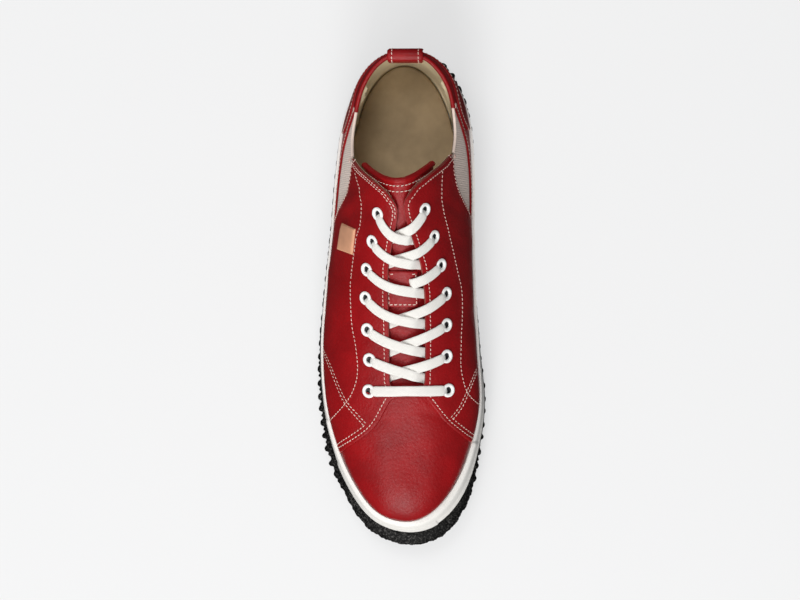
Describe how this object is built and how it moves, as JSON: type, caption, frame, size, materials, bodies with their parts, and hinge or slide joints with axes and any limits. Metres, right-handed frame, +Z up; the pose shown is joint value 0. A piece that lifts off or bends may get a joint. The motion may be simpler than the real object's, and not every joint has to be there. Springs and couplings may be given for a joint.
{
  "type": "sneaker",
  "caption": "Low leather sneaker for the right foot, with elastic side gores, flat laces, a heel pull tab and a rolled-up toothed rubber sole.",
  "frame": {"origin": "on the floor, below the middle of the shoe's box", "axes": "+Z up, toe towards -Y, heel towards +Y, medial side towards +X"},
  "size_m": [0.1019, 0.2978, 0.1037],
  "materials": {
    "leather_red": "smooth, satin",
    "elastic": "ribbed elastic",
    "foxing_white": "matte",
    "rubber_black": "matte",
    "insole_tan": "matte",
    "lace_white": "woven cotton",
    "eyelet_white": "gloss",
    "tag_leather": "matte"
  },
  "bodies": {
    "root": {"outsole": "rubber_black", "midsole": "foxing_white", "insole": "insole_tan", "upper": "leather_red", "gore_lateral": "elastic", "gore_medial": "elastic", "tongue": "leather_red", "heel_counter": "leather_red", "pull_tab": "leather_red", "tag": "tag_leather", "lace_bar": "lace_white", "lace_cross_1": "lace_white", "lace_cross_2": "lace_white", "lace_cross_3": "lace_white", "lace_cross_4": "lace_white", "lace_cross_5": "lace_white", "lace_cross_6": "lace_white", "eyelet_lateral_1": "eyelet_white", "eyelet_lateral_2": "eyelet_white", "eyelet_lateral_3": "eyelet_white", "eyelet_lateral_4": "eyelet_white", "eyelet_lateral_5": "eyelet_white", "eyelet_lateral_6": "eyelet_white", "eyelet_lateral_7": "eyelet_white", "eyelet_medial_1": "eyelet_white", "eyelet_medial_2": "eyelet_white", "eyelet_medial_3": "eyelet_white", "eyelet_medial_4": "eyelet_white", "eyelet_medial_5": "eyelet_white", "eyelet_medial_6": "eyelet_white", "eyelet_medial_7": "eyelet_white"}
  },
  "joints": []
}
